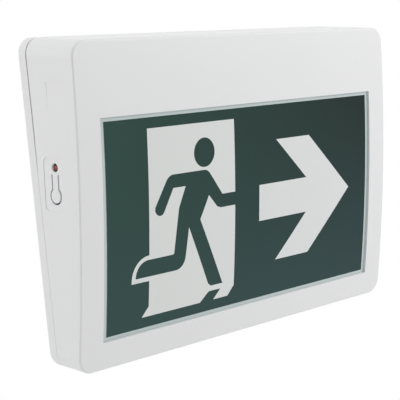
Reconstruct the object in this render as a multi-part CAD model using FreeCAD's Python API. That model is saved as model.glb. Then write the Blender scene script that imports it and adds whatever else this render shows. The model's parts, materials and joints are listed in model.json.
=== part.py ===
import FreeCAD, Part
import math
import os

# Wall-mounted emergency exit light: a moulded wedge-shaped case with an edge-lit legend in its
# front, a battery and charger on its back plate, and a test button and lamp in its left side.
#
# Two frames are used, both in millimetres with X to the right.
# The case frame lies along the face: Y runs into the case from the foremost line of the face,
# Z runs up the face, and the origin is at the middle of the window.
# The wall frame is the part's own frame: Y runs into the wall, Z is plumb, and the origin is at
# the middle of the back face. Cover-side pieces are drawn in the case frame and then turned.

Vector = FreeCAD.Vector
X_AXIS = Vector(1, 0, 0)
Y_AXIS = Vector(0, 1, 0)
Z_AXIS = Vector(0, 0, 1)
CENTRE = Vector(0, 0, 0)
BEYOND = 60.0                   # how far cutting tools reach past what they cut

# Legend and window
legend_width = 291.3
legend_height = 150.0
border_side = 3.95              # bare panel between legend and window edge
border_end = 2.9
legend_recess = 1.5             # face to legend
film_thickness = 0.2

# Case
case_depth = 47.4               # face to back, at the middle of the window
face_lean = 7.5                 # degrees that the face leans forward from the wall
face_radius = 1278.0            # the face is slightly convex, about a level axis
corner_radius = 12.0            # case corners, seen from the front
edge_round = 1.5                # outer edge of the face
back_chamfer = 1.2              # outer edge of the back
wall = 2.4                      # cover walls
margin_above = 52.4             # blank band above the window
margin_below = 19.9
margin_side = 20.9
rear_rim = 8.5                  # share of the sides that belongs to the back plate
seam = 0.25                     # gap between cover and back plate
vent_gap = 1.1                  # the same gap where it is opened for air, at the top
vent_length = 96.3              # from the top of the case down to where the gap closes
vent_run_out = 32.0             # length over which it closes

# Panel and light box
panel_thickness = 2.5
panel_overlap = 5.6             # panel beyond the window, all round
panel_clearance = 0.4
box_overlap = 1.6               # light box interior beyond the window
box_wall = 1.6
box_depth = 22.0                # face to the back of the box, at the middle of the window
box_corner = 3.0
ear_clearance = 1.6             # between the panel and the bosses' tops
ear_thickness = 2.0
ear_width = 12.0
ear_height = 0.0                # ears above the middle of the window
boss_radius = 3.6
boss_inset = 9.9                # boss centres in from the case's sides
led_count = 14
led_end_gap = 12.0              # from the outer lamps to the ends of the strip
led_window = 4.5                # openings in the light box for the lamps
led_size = 3.5
led_height = 1.9
led_depth = 14.5                # depth of the row of lamps behind the face
strip_width = 12.0
strip_inset = 7.6               # ends of the strip in from the window's sides
board_thickness = 1.6

# Test button, status lamp and their board, on the left side
control_lean = 3.3              # degrees
control_forward = 0.36          # controls in front of the middle of the side
control_height = 32.8           # and above the middle of the window
dish_width = 22.6
dish_height = 37.5
dish_corner = 4.5
dish_depth = 0.5
lamp_height = 11.3              # heights of lamp, hinge and paddle are from the dish's middle
lamp_radius = 2.4
lamp_chamfer = 0.4
lamp_flange_radius = 2.9
lamp_flange_height = 1.0
lamp_hole_radius = 3.0
lamp_hole_chamfer = 0.4
lamp_sunk = 0.6                 # tip of the lamp below the floor of the dish
lamp_leg = 0.5                  # square legs
lamp_leg_clearance = 0.1
lamp_leg_pitch = 2.54
lamp_leg_past = 1.0             # cut ends of the legs behind the board
hinge_height = 6.4
hinge_clearance = 0.05
paddle_height = -8.0
paddle_radius = 4.9
paddle_raise = 0.35
paddle_chamfer = 0.3
stem_width = 5.4
slot_width = 1.2
post_radius = 1.8               # post on the back of the paddle that works the switch
post_length = 1.2
post_gap = 0.15
switch_size = 7.0
switch_height = 4.4
plunger_radius = 1.5
plunger_clearance = 0.08
plunger_stroke = 1.3            # how far the plunger can go in
plunger_seated = 2.2            # plunger inside the switch at rest
side_board_width = 20.0
side_board_height = 40.0
rail_grip = 0.9                 # depth of the grooves that hold the side board
rail_width = 2.5
rail_clearance = 0.1
rail_past = 1.6

# Shallow ramped mark of the end-mounting blank, on both sides
mark_width = 19.4
mark_height = 18.6
mark_depth = 0.3
mark_run_out = 0.05
mark_centre_depth = 22.9
mark_below_top = 37.3           # its middle below the top of the case

# Back plate
plate = 2.6
rim_wall = 2.0
shelf = 2.0
lip_clearance = 0.25
lip_wall = 1.5
lip_height = 3.5
latch_spacing = 180.0
latch_width = 18.0
latch_reach = 9.0
catch_width = 12.0
catch_height = 1.1
catch_length = 2.2
catch_clearance = 0.4
catch_set_back = 5.5            # middle of the catch in front of the rim
cable_radius = 11.1
collar_wall = 2.5
collar_height = 5.0
slot_spacing = 86.0             # junction-box screws
slot_length = 14.0
screw_hole_radius = 2.4
hole_spacing_x = 290.0
hole_spacing_z = 170.0
rib_height = 3.0
rib_wall = 1.4
rib_end_gap = 34.0              # ribs stop this far from the sides
rib_drop = 42.5                 # first rib below the cable entry
rib_pitch = 18.2
notch_clearance = 1.0           # lip cut away beside the board rails

# Charger board, in the wall frame: hooked on the left and screwed on the right
board_width = 110.0
board_height = 70.0
board_side_gap = 43.5           # board to the right side of the case
board_drop = 18.1               # board below the top of the back
board_standoff = 4.0
board_hole_inset = 5.0
board_rest_width = 12.0
hook_wall = 2.0
hook_width = 8.0
hook_grip = 1.5
hook_clearance = 0.1
standoff_radius = 3.5
screw_radius = 1.25
screw_sides = 12                # small fasteners are drawn with this many sides
screw_head_radius = 2.7
screw_head_height = 1.9
screw_length = 5.0
screw_clearance = 0.05
screw_pass = 0.2                # clearance of screws through what they hold

# What is on the charger board, placed from its nearest edges
transformer_core_width = 30.0
transformer_core_height = 14.0
transformer_rise = 22.0
bobbin_width = 20.0
bobbin_height = 24.0
bobbin_rise = 20.0
transformer_from_right = 23.0
transformer_from_top = 17.0
relay_width = 15.0
relay_height = 12.0
relay_rise = 12.0
relay_chamfer = 1.0
relay_from_right = 57.0
relay_from_top = 15.0
can_radius = 5.0
can_length = 16.0
can_pitch = 14.0
can_from_right = 75.0
can_from_top = 13.0
connectors_from_bottom = 6.5
terminal_count = 2
terminal_pitch = 7.0
terminal_rise = 10.0
terminal_height = 8.0
terminal_margin = 1.0
terminal_from_left = 27.0
terminal_well = 4.2
terminal_well_depth = 1.8
terminal_head_radius = 1.9
terminal_head_height = 1.0
terminal_slot_width = 0.6
terminal_slot_depth = 0.5
terminal_mouth = 4.0
terminal_mouth_depth = 3.0
header_width = 8.0
header_height = 6.0
header_rise = 5.0
header_wall = 0.8
first_header_from_right = 53.0
second_header_from_right = 33.0
third_header_from_right = 15.0
plug_rise = 6.5
plug_clearance = 0.1

# Battery pack and its strap, which is hooked at the top and screwed below
cell_radius = 7.25
cell_count = 3
cell_length = 50.0
battery_side_gap = 67.5         # pack to the left side of the case
battery_drop = 33.35            # pack below the top of the back
battery_raise = 1.5
cradle_wall = 1.4
strap_width = 14.0
strap_thickness = 1.0
strap_clearance = 0.2
strap_foot = 9.0
strap_tongue = 4.0
strap_standoff = 4.0
strap_screw_length = 4.2

# Flat two-core leads
lead_width = 3.2
lead_thickness = 1.4
lead_clearance = 1.2            # to the light box, where a lead leaves its plug
lead_drop = 7.0                 # leads run this far below the board
lead_raise = 6.0                # and this far off the plate
lead_wander = 0.8
lead_straight = 22.0            # where the control lead meets its board
lamp_lead_rise = 9.0            # where the lamp lead meets its strip
lamp_lead_end = 13.5            # solder joint of the lamp leads from the end of the strip
control_lead_side = 4.0         # and of the control leads from the middle of the side board
control_lead_drop = 12.0

# Places that follow from the sizes above
LEAN = math.radians(face_lean)
window_width = legend_width + 2 * border_side
window_height = legend_height + 2 * border_end
case_width = window_width + 2 * margin_side
case_top = window_height / 2 + margin_above
case_bottom = -window_height / 2 - margin_below
case_height = case_top - case_bottom
case_middle = (case_top + case_bottom) / 2
back_middle = case_depth + case_middle * math.tan(LEAN)
left_side = -case_width / 2
panel_front = legend_recess + film_thickness
panel_back = panel_front + panel_thickness
box_half_width = window_width / 2 + box_overlap
box_half_height = window_height / 2 + box_overlap
strip_bottom = box_half_height + box_wall
strip_top = strip_bottom + board_thickness
strip_length = window_width - 2 * strip_inset
control_depth = (case_depth + control_height * math.tan(LEAN)) / 2 - control_forward
plate_inside = -plate           # inner face of the back plate, in the wall frame
plate_top = case_height / 2 / math.cos(LEAN)
board_back = plate_inside - board_standoff
board_front = board_back - board_thickness
plug_front = board_front - header_wall - plug_rise
lead_room = plug_front + case_depth - box_depth
lead_rise = lead_room - lead_clearance - lead_thickness / 2
board_right = case_width / 2 - board_side_gap
board_left = board_right - board_width
board_top = plate_top - board_drop
board_bottom = board_top - board_height
battery_x = left_side + battery_side_gap + cell_length / 2
battery_half = cell_count * cell_radius
battery_z = plate_top - battery_drop - battery_half
battery_y = plate_inside - battery_raise - cell_radius

# The side board stands off by the post, the switch and its plunger
plunger_out = plunger_stroke + post_gap
switch_front = wall + post_length + post_gap + plunger_out
side_board_near = switch_front + switch_height
side_board_far = side_board_near + board_thickness
lamp_tip = dish_depth + lamp_sunk
lamp_seat = lamp_tip + 3 * lamp_radius


def to_wall(shape):
    """A shape from the case frame, in the wall frame."""
    moved = shape.translated(Vector(0, -back_middle, -case_middle))
    return moved.rotated(CENTRE, X_AXIS, face_lean)


def face_y(height, inset=0.0):
    """Depth of the curved face, moved inset into the case, at a height in the case frame."""
    return face_radius - math.sqrt((face_radius - inset) ** 2 - height ** 2)


def back_y(height, inset=0.0):
    """Depth of the back, moved inset into the case, at a height in the case frame."""
    return case_depth + height * math.tan(LEAN) - inset / math.cos(LEAN)


def block(width, depth, height, centre):
    """A box of these sizes along X, Y and Z about a centre."""
    corner = centre - Vector(width / 2, depth / 2, height / 2)
    return Part.makeBox(width, depth, height, corner)


def rounded_block(width, height, radius, near, far, centre_z=0.0):
    """A rounded rectangle across X and Z that runs along Y from near to far."""
    shape = block(width, far - near, height, Vector(0, (near + far) / 2, centre_z))
    long_edges = [edge for edge in shape.Edges if abs(edge.tangentAt(edge.FirstParameter).y) > 0.9]
    return shape.makeFillet(radius, long_edges)


def rod(radius, length, start, direction):
    return Part.makeCylinder(radius, length, start, direction)


def prism(points, direction):
    """A solid whose outline is a polygon, swept along a direction."""
    return Part.Face(Part.makePolygon(points + points[:1])).extrude(direction)


def section(front_inset, back_inset, width=case_width + BEYOND):
    """The case's side profile between the inset face and the inset back, swept across X."""
    low = case_bottom - BEYOND / 3
    high = case_top + BEYOND / 3
    x = -width / 2
    front_low = Vector(x, face_y(low, front_inset), low)
    front_mid = Vector(x, face_y(0.0, front_inset), 0.0)
    front_high = Vector(x, face_y(high, front_inset), high)
    back_low = Vector(x, back_y(low, back_inset), low)
    back_high = Vector(x, back_y(high, back_inset), high)
    outline = Part.Wire([
        Part.Arc(front_low, front_mid, front_high).toShape(),
        Part.LineSegment(front_high, back_high).toShape(),
        Part.LineSegment(back_high, back_low).toShape(),
        Part.LineSegment(back_low, front_low).toShape(),
    ])
    return Part.Face(outline).extrude(Vector(width, 0, 0))


def case_column(side_inset):
    """The case's front outline, inset all round, as a long column along Y."""
    return rounded_block(
        case_width - 2 * side_inset, case_height - 2 * side_inset, corner_radius - side_inset,
        -BEYOND, case_depth + BEYOND, case_middle)


def case_body(front_inset, side_inset, back_inset):
    return case_column(side_inset).common(section(front_inset, back_inset))


def slab(back_inset_low, back_inset_high):
    """The space between two planes parallel to the back."""
    far = section(0.0, back_inset_low)
    return far.cut(section(-BEYOND, back_inset_high))


def curved_sheet(width, height, front_inset, thickness):
    """A sheet that follows the face's curve, at some depth behind it."""
    column = block(width, 2 * BEYOND, height, CENTRE)
    outer = column.common(section(front_inset, 0.0))
    return outer.cut(section(front_inset + thickness, -BEYOND))


def on_side(shape):
    """From the frame of the side controls, with X inwards from the side wall, to the case frame."""
    turned = shape.rotated(CENTRE, X_AXIS, -control_lean)
    return turned.translated(Vector(left_side, control_depth, control_height))


def faceted_rod(radius, length, start, direction):
    """A rod with few sides, for the small fasteners."""
    turns = [2 * math.pi * side / screw_sides for side in range(screw_sides)]
    corners = [Vector(radius * math.cos(turn), radius * math.sin(turn), 0) for turn in turns]
    outline = Part.makePolygon(corners + corners[:1])
    made = Part.Face(outline).extrude(Z_AXIS * length)
    made.Placement = FreeCAD.Placement(start, FreeCAD.Rotation(Z_AXIS, direction))
    return made


def screw(seat, direction, length=screw_length):
    """A pan-head screw whose head sits on seat and whose shank runs along direction."""
    head = faceted_rod(screw_head_radius, screw_head_height, seat, -direction)
    return head.fuse(faceted_rod(screw_radius, length, seat, direction)).removeSplitter()


def boss(radius, start, direction, height):
    """A hollow post for a screw, as its outside and its hole."""
    hole_radius = screw_radius + screw_clearance
    hole_depth = min(screw_length + 2 * screw_clearance, height - screw_clearance)
    top = start + direction * height
    return rod(radius, height, start, direction), rod(hole_radius, hole_depth, top, -direction)


# Front cover ------------------------------------------------------------------------------------

def ear_places():
    x = case_width / 2 - boss_inset
    return [(side * x, ear_height) for side in (-1, 1)]


def ear_front():
    """Depth at which the light box's ears seat on the cover's bosses."""
    return face_y(abs(ear_height) + ear_width / 2, panel_back) + ear_clearance


def vent_cut():
    """What opens the seam: a thin wedge off the rear edge of the cover, growing towards the top."""
    low = case_top - vent_length
    full = low + vent_run_out
    high = case_top + BEYOND / 3
    x = left_side - BEYOND / 2
    points = [
        Vector(x, back_y(low, rear_rim + seam), low),
        Vector(x, back_y(full, rear_rim + vent_gap), full),
        Vector(x, back_y(high, rear_rim + vent_gap), high),
        Vector(x, back_y(high, 0.0), high),
        Vector(x, back_y(low, 0.0), low),
    ]
    return prism(points, Vector(case_width + BEYOND, 0, 0))


def button_outline(clearance, near, far):
    """The keyhole outline of the button, or of its opening when a clearance is added."""
    round_end = rod(paddle_radius + clearance, far - near, Vector(near, 0, paddle_height), X_AXIS)
    stem_height = hinge_height - paddle_height
    stem = block(
        far - near, stem_width + 2 * clearance, stem_height,
        Vector((near + far) / 2, 0, paddle_height + stem_height / 2))
    return round_end.fuse(stem).removeSplitter()


def hinge_knuckle(clearance):
    radius = (wall - dish_depth) / 2 + clearance
    width = stem_width if clearance == 0 else stem_width + 2 * slot_width
    start = Vector((wall + dish_depth) / 2, -width / 2, hinge_height)
    return rod(radius, width, start, Y_AXIS)


def dish():
    """The shallow rounded recess in the side wall that holds the controls."""
    flat = block(dish_depth * 2, dish_width, dish_height, CENTRE)
    corners = [edge for edge in flat.Edges if abs(edge.tangentAt(edge.FirstParameter).x) > 0.9]
    return flat.makeFillet(dish_corner, corners)


def control_openings():
    """Everything that is cut from the side wall for the controls."""
    opening = button_outline(slot_width, -dish_depth, wall + post_length)
    hole = rod(lamp_hole_radius, 2 * wall, Vector(-wall / 2, 0, lamp_height), X_AXIS)
    chamfer = Part.makeCone(
        lamp_hole_radius + lamp_hole_chamfer, lamp_hole_radius, lamp_hole_chamfer,
        Vector(dish_depth, 0, lamp_height), X_AXIS)
    return [dish(), opening, hinge_knuckle(hinge_clearance), hole, chamfer]


def board_rails():
    """Two grooved rails and a ledge, inside the side wall, that the side board slides into."""
    half = side_board_width / 2
    reach = side_board_far + rail_past
    shapes = []
    for side in (-1, 1):
        middle = side * (half - rail_grip + rail_width / 2)
        rail = block(
            reach - wall / 2, rail_width, side_board_height,
            Vector((reach + wall / 2) / 2, middle, 0))
        groove = block(
            board_thickness + 2 * rail_clearance, 2 * (rail_grip + rail_clearance), side_board_height,
            Vector((side_board_near + side_board_far) / 2, side * (half + rail_clearance), 0))
        shapes.append(rail.cut(groove))
    ledge = block(
        reach - wall / 2, side_board_width + 2 * (rail_width - rail_grip), rail_width,
        Vector((reach + wall / 2) / 2, 0, -side_board_height / 2 - rail_width / 2))
    return shapes + [ledge]


def side_mark(side):
    """A shallow ramp in a side wall, deepest at its upper edge."""
    outside = case_width / 2
    half_height = mark_height / 2
    points = [
        Vector(outside + wall, -mark_width / 2, half_height),
        Vector(outside - mark_depth, -mark_width / 2, half_height),
        Vector(outside - mark_run_out, -mark_width / 2, -half_height),
        Vector(outside + wall, -mark_width / 2, -half_height),
    ]
    ramp = prism(points, Vector(0, mark_width, 0)).rotated(CENTRE, X_AXIS, -face_lean / 2)
    ramp = ramp.translated(Vector(0, mark_centre_depth, case_top - mark_below_top))
    return ramp if side > 0 else ramp.mirror(CENTRE, X_AXIS)


def catch(side, top):
    """A ramped catch on the inside of the cover's top or bottom wall."""
    inside = (case_top if top else case_bottom) - (wall if top else -wall)
    sense = -1 if top else 1
    middle = back_y(inside, rear_rim) - catch_set_back
    x = side * latch_spacing / 2 - catch_width / 2
    points = [
        Vector(x, middle - catch_length / 2, inside - sense * wall / 2),
        Vector(x, middle - catch_length / 2, inside + sense * catch_height),
        Vector(x, middle + catch_length / 2, inside),
        Vector(x, middle + catch_length / 2, inside - sense * wall / 2),
    ]
    return prism(points, Vector(catch_width, 0, 0))


def make_front_cover():
    outer = case_body(0.0, 0.0, rear_rim + seam)
    front = [face for face in outer.Faces
             if isinstance(face.Surface, Part.Cylinder) and face.Surface.Radius > case_height]
    outer = outer.makeFillet(edge_round, front[0].Edges)
    cover = outer.cut(case_body(wall, wall, -BEYOND))
    additions = [on_side(shape) for shape in board_rails()]
    additions += [catch(side, top) for side in (-1, 1) for top in (False, True)]
    holes = []
    for x, height in ear_places():
        start = face_y(height, wall / 2)
        post, hole = boss(boss_radius, Vector(x, start, height), Y_AXIS, ear_front() - start)
        additions.append(post)
        holes.append(hole)
    cover = cover.fuse(additions)
    window = block(window_width, 2 * BEYOND, window_height, CENTRE)
    panel_seat = curved_sheet(
        window_width + 2 * (panel_overlap + panel_clearance),
        window_height + 2 * (panel_overlap + panel_clearance), panel_front, wall)
    cuts = [window, panel_seat, vent_cut(), side_mark(-1), side_mark(1)] + holes
    cuts += [on_side(shape) for shape in control_openings()]
    return cover.cut(cuts).removeSplitter()


# Legend and light box ---------------------------------------------------------------------------

def make_legend_panel():
    return curved_sheet(
        window_width + 2 * panel_overlap, window_height + 2 * panel_overlap,
        panel_front, panel_thickness)


def make_legend_film():
    return curved_sheet(legend_width, legend_height, legend_recess, film_thickness)


def led_places():
    first = led_end_gap - strip_length / 2
    pitch = (strip_length - 2 * led_end_gap) / (led_count - 1)
    return [first + index * pitch for index in range(led_count)]


def make_light_box():
    """A white tray behind the panel: its floor slopes, and lamps shine in through its top wall."""
    floor_inset = (case_depth - box_depth) * math.cos(LEAN)
    outside = rounded_block(
        2 * (box_half_width + box_wall), 2 * (box_half_height + box_wall), box_corner,
        -BEYOND, case_depth + BEYOND)
    inside = block(2 * box_half_width, 2 * BEYOND, 2 * box_half_height, CENTRE)
    tray = outside.common(section(panel_back, floor_inset))
    cavity = inside.common(section(-BEYOND, floor_inset + box_wall))
    ears = []
    holes = []
    inner_edge = box_half_width + box_wall / 2
    for x, height in ear_places():
        side = math.copysign(1, x)
        outer_edge = abs(x) + boss_radius
        ears.append(block(
            outer_edge - inner_edge, ear_thickness, ear_width,
            Vector(side * (outer_edge + inner_edge) / 2, ear_front() + ear_thickness / 2, height)))
        holes.append(rod(
            screw_radius + screw_pass, 3 * ear_thickness,
            Vector(x, ear_front() - ear_thickness, height), Y_AXIS))
    for x in led_places():
        holes.append(block(
            led_window, led_window, 2 * box_wall, Vector(x, led_depth, box_half_height + box_wall / 2)))
    return tray.fuse(ears).cut([cavity] + holes).removeSplitter()


def make_light_box_screws():
    seat = ear_front() + ear_thickness
    return Part.makeCompound([
        screw(Vector(x, seat, height), -Y_AXIS) for x, height in ear_places()])


def make_led_strip():
    middle = (strip_bottom + strip_top) / 2
    return block(strip_length, strip_width, board_thickness, Vector(0, led_depth, middle))


def make_leds():
    """The row of lamps under the strip, each in its opening in the light box."""
    middle = strip_bottom - led_height / 2
    return Part.makeCompound([
        block(led_size, led_size, led_height, Vector(x, led_depth, middle)) for x in led_places()])


# Test button, status lamp and their board -------------------------------------------------------

def make_test_button():
    """The flexing tongue: a stem with a round paddle, and a post behind it for the switch."""
    tongue = button_outline(0.0, dish_depth, wall)
    pad = Part.makeCone(
        paddle_radius - paddle_chamfer, paddle_radius, paddle_raise,
        Vector(dish_depth - paddle_raise, 0, paddle_height), X_AXIS)
    post = rod(post_radius, post_length, Vector(wall, 0, paddle_height), X_AXIS)
    return on_side(tongue.fuse([hinge_knuckle(0.0), pad, post]).removeSplitter())


def plunger_bore(clearance):
    depth = plunger_seated + plunger_stroke
    return rod(plunger_radius + clearance, depth, Vector(switch_front, 0, paddle_height), X_AXIS)


def make_test_switch_body():
    middle = switch_front + switch_height / 2
    body = block(switch_height, switch_size, switch_size, Vector(middle, 0, paddle_height))
    corners = [edge for edge in body.Edges if abs(edge.tangentAt(edge.FirstParameter).x) > 0.9]
    return on_side(body.makeChamfer(switch_size / 12, corners).cut(plunger_bore(plunger_clearance)))


def make_test_switch_plunger():
    length = plunger_out + plunger_seated
    start = switch_front - plunger_out
    return on_side(rod(plunger_radius, length, Vector(start, 0, paddle_height), X_AXIS))


def lamp_legs(size, start, end):
    """The lamp's two square legs, or their holes when a larger size is given."""
    return [block(end - start, size, size,
                  Vector((start + end) / 2, side * lamp_leg_pitch / 2, lamp_height))
            for side in (-1, 1)]


def make_side_board():
    middle = (side_board_near + side_board_far) / 2
    board = block(board_thickness, side_board_width, side_board_height, Vector(middle, 0, 0))
    holes = lamp_legs(
        lamp_leg + 2 * lamp_leg_clearance, side_board_near - board_thickness,
        side_board_far + board_thickness)
    return on_side(board.cut(holes))


def make_status_lamp():
    body = rod(lamp_radius, 3 * lamp_radius, Vector(lamp_tip, 0, lamp_height), X_AXIS)
    tip = min(body.Edges, key=lambda edge: edge.CenterOfMass.x)
    body = body.makeChamfer(lamp_chamfer, [tip])
    flange = rod(
        lamp_flange_radius, lamp_flange_height,
        Vector(lamp_seat - lamp_flange_height, 0, lamp_height), X_AXIS)
    legs = lamp_legs(lamp_leg, lamp_seat - lamp_flange_height / 2, side_board_far + lamp_leg_past)
    return on_side(body.fuse([flange] + legs).removeSplitter())


def make_lamp_spacer():
    length = side_board_near - lamp_seat
    side = 2 * lamp_flange_radius
    sleeve = block(length, side, side, Vector(lamp_seat + length / 2, 0, lamp_height))
    holes = lamp_legs(
        lamp_leg + 2 * lamp_leg_clearance, lamp_seat - length, side_board_near + length)
    return on_side(sleeve.cut(holes))


# Back plate -------------------------------------------------------------------------------------

def rim_ring(outer_inset, inner_inset, low, high):
    """A ring that follows the case's outline, between two planes parallel to the back."""
    ring = case_column(outer_inset).cut(case_column(inner_inset))
    return ring.common(slab(low, high))


def latch_arm(side, top):
    """A snap arm on the rim, with a window that the cover's catch clicks into."""
    sense = -1 if top else 1
    outside = case_top if top else case_bottom
    outer = outside + sense * (wall + lip_clearance)
    rim = back_y(outer, rear_rim)
    x = side * latch_spacing / 2
    height = outer + sense * lip_wall / 2
    arm = block(
        latch_width, latch_reach + shelf, lip_wall,
        Vector(x, rim - latch_reach / 2 + shelf / 2, height))
    opening = block(
        catch_width + 2 * catch_clearance, catch_length + 2 * catch_clearance, 3 * lip_wall,
        Vector(x, rim - catch_set_back, height))
    return arm, opening


def rail_notch():
    """What is cut from the lip beside the rails of the side board."""
    height = side_board_height + 2 * (rail_width + notch_clearance)
    half_width = wall + lip_clearance + lip_wall + notch_clearance
    tool = block(2 * half_width, BEYOND, height, Vector(left_side, 0, control_height))
    in_front = section(-BEYOND, rear_rim)
    return tool.translated(Vector(0, case_depth, 0)).common(in_front)


def plate_post(x, z, radius, height):
    return boss(radius, Vector(x, plate_inside, z), -Y_AXIS, height)


def board_hole_place():
    return board_right - board_hole_inset, (board_bottom + board_top) / 2


def strap_hole_place():
    reach = battery_half + strap_thickness + strap_clearance + strap_foot / 2
    return battery_x, battery_z - reach


def board_hooks():
    """Two moulded hooks, each a foot under the board's left edge with a claw over it."""
    hooks = []
    rise = board_standoff + board_thickness + hook_clearance + hook_wall
    for z in (board_bottom + board_hole_inset + hook_width, board_top - board_hole_inset - hook_width):
        left = board_left - hook_clearance - hook_wall
        right = board_left + hook_grip
        foot = block(
            right - left, rise, hook_width,
            Vector((left + right) / 2, plate_inside - rise / 2, z))
        gap = block(
            hook_grip + hook_clearance, board_thickness + hook_clearance, hook_width,
            Vector(board_left + (hook_grip - hook_clearance) / 2,
                   board_back - (board_thickness + hook_clearance) / 2, z))
        hooks.append(foot.cut(gap))
    return hooks


def strap_hook():
    """A bridge on the plate that the strap's tongue slips under."""
    inner_z = battery_z + battery_half + strap_clearance + strap_thickness + strap_clearance
    rise = strap_standoff + strap_thickness + 2 * strap_clearance + hook_wall
    width = strap_width + 2 * strap_clearance + 2 * hook_wall
    bridge = block(
        width, rise, strap_tongue,
        Vector(battery_x, plate_inside - rise / 2, inner_z + strap_tongue / 2))
    tunnel = block(
        strap_width + 2 * strap_clearance, strap_thickness + 2 * strap_clearance, 2 * strap_tongue,
        Vector(battery_x, plate_inside - strap_standoff - strap_thickness / 2,
               inner_z + strap_tongue / 2))
    return bridge.cut(tunnel)


def straight_slot(x):
    """A level slot through the plate for a junction-box screw."""
    start = plate_inside - BEYOND / 10
    depth = BEYOND / 5
    run = slot_length - 2 * screw_hole_radius
    middle = block(run, depth, 2 * screw_hole_radius, Vector(x, start + depth / 2, 0))
    ends = [rod(screw_hole_radius, depth, Vector(x + side * run / 2, start, 0), Y_AXIS)
            for side in (-1, 1)]
    return middle.fuse(ends).removeSplitter()


def make_back_plate():
    lip_outer = wall + lip_clearance
    lip_inner = lip_outer + lip_wall
    body = case_column(0.0).common(slab(0.0, plate))
    body = body.fuse([
        rim_ring(0.0, rim_wall, plate / 2, rear_rim),
        rim_ring(0.0, lip_inner, rear_rim - shelf, rear_rim),
        rim_ring(lip_outer, lip_inner, rear_rim - shelf, rear_rim + lip_height),
    ]).removeSplitter()
    large = [face for face in body.Faces if face.Area > case_width * case_height / 2]
    flat_back = max(large, key=lambda face: face.CenterOfMass.y)
    body = body.makeChamfer(back_chamfer, flat_back.OuterWire.Edges)
    arms, openings = zip(*[latch_arm(side, top) for side in (-1, 1) for top in (False, True)])
    body = to_wall(body.fuse(list(arms)).cut(list(openings) + [rail_notch()]))

    posts, holes = zip(*(
        [plate_post(*board_hole_place(), standoff_radius, board_standoff),
         plate_post(*strap_hole_place(), standoff_radius, strap_standoff)]))
    collar = rod(cable_radius + collar_wall, collar_height, Vector(0, plate_inside, 0), -Y_AXIS)
    body = body.fuse(list(posts) + [collar, strap_hook()] + board_hooks() + plate_ribs())
    cable_hole = rod(cable_radius, BEYOND, Vector(0, -BEYOND / 2, 0), Y_AXIS)
    wall_holes = [
        rod(screw_hole_radius, BEYOND / 5,
            Vector(i * hole_spacing_x / 2, plate_inside - BEYOND / 10, j * hole_spacing_z / 2), Y_AXIS)
        for i in (-1, 1) for j in (-1, 1)]
    slots = [straight_slot(side * slot_spacing / 2) for side in (-1, 1)]
    return body.cut([cable_hole] + list(holes) + wall_holes + slots).removeSplitter()


def plate_ribs():
    """Level stiffening ribs, rests for the board's free corners and cradles for the battery."""
    ribs = [block(
        case_width - 2 * rib_end_gap, rib_height, rib_wall,
        Vector(0, plate_inside - rib_height / 2, -rib_drop - index * rib_pitch)) for index in (0, 1)]
    ribs += [block(
        board_rest_width, board_standoff, rib_wall,
        Vector(board_right - board_rest_width / 2, plate_inside - board_standoff / 2,
               (board_bottom + board_top) / 2 + side * (board_height / 2 - board_hole_inset)))
        for side in (-1, 1)]
    ribs += [block(
        cradle_wall, battery_raise, 2 * battery_half - 2 * cell_radius,
        Vector(battery_x + side * cell_length / 3, plate_inside - battery_raise / 2, battery_z))
        for side in (-1, 1)]
    return ribs


# Charger board ----------------------------------------------------------------------------------

def on_board(width, rise, height, x, z):
    """A block that stands on the charger board, with its middle at x and z."""
    return block(width, rise, height, Vector(x, board_front - rise / 2, z))


def upright_edges(shape):
    return [edge for edge in shape.Edges if abs(edge.tangentAt(edge.FirstParameter).y) > 0.9]


def make_main_board():
    board = block(
        board_width, board_thickness, board_height,
        Vector((board_left + board_right) / 2, board_back - board_thickness / 2,
               (board_bottom + board_top) / 2))
    x, z = board_hole_place()
    return board.cut(rod(
        screw_radius + screw_pass, 3 * board_thickness,
        Vector(x, board_front - board_thickness, z), Y_AXIS))


def make_main_board_screw():
    x, z = board_hole_place()
    return screw(Vector(x, board_front, z), Y_AXIS)


def make_transformer():
    """A small laminated transformer: an E-I core with its bobbin showing above and below."""
    x = board_right - transformer_from_right
    z = board_top - transformer_from_top
    core = on_board(transformer_core_width, transformer_rise, transformer_core_height, x, z)
    bobbin = on_board(bobbin_width, bobbin_rise, bobbin_height, x, z)
    corners = (bobbin_height - transformer_core_height) / 3
    return core.fuse(bobbin.makeFillet(corners, upright_edges(bobbin))).removeSplitter()


def make_capacitors():
    cans = []
    for index in (0, 1):
        x = board_right - can_from_right - index * can_pitch
        start = Vector(x, board_front, board_top - can_from_top)
        cans.append(rod(can_radius, can_length, start, -Y_AXIS))
    return Part.makeCompound(cans)


def make_transfer_relay():
    body = on_board(
        relay_width, relay_rise, relay_height,
        board_right - relay_from_right, board_top - relay_from_top)
    return body.makeChamfer(relay_chamfer, upright_edges(body))


def terminal_places():
    first = board_left + terminal_from_left - (terminal_count - 1) / 2 * terminal_pitch
    return [first + index * terminal_pitch for index in range(terminal_count)]


def make_terminal_block():
    """A row of terminals: a well for each screw and a mouth for each wire below it."""
    z = board_bottom + connectors_from_bottom
    body = on_board(
        terminal_count * terminal_pitch + 2 * terminal_margin, terminal_rise, terminal_height,
        board_left + terminal_from_left, z)
    top = board_front - terminal_rise
    cuts = []
    for x in terminal_places():
        cuts.append(block(
            terminal_well, terminal_well_depth, terminal_well,
            Vector(x, top + terminal_well_depth / 2, z)))
        cuts.append(block(
            terminal_mouth, terminal_mouth, terminal_mouth_depth,
            Vector(x, board_front - terminal_mouth, z - (terminal_height - terminal_mouth_depth) / 2)))
    return body.cut(cuts)


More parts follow.
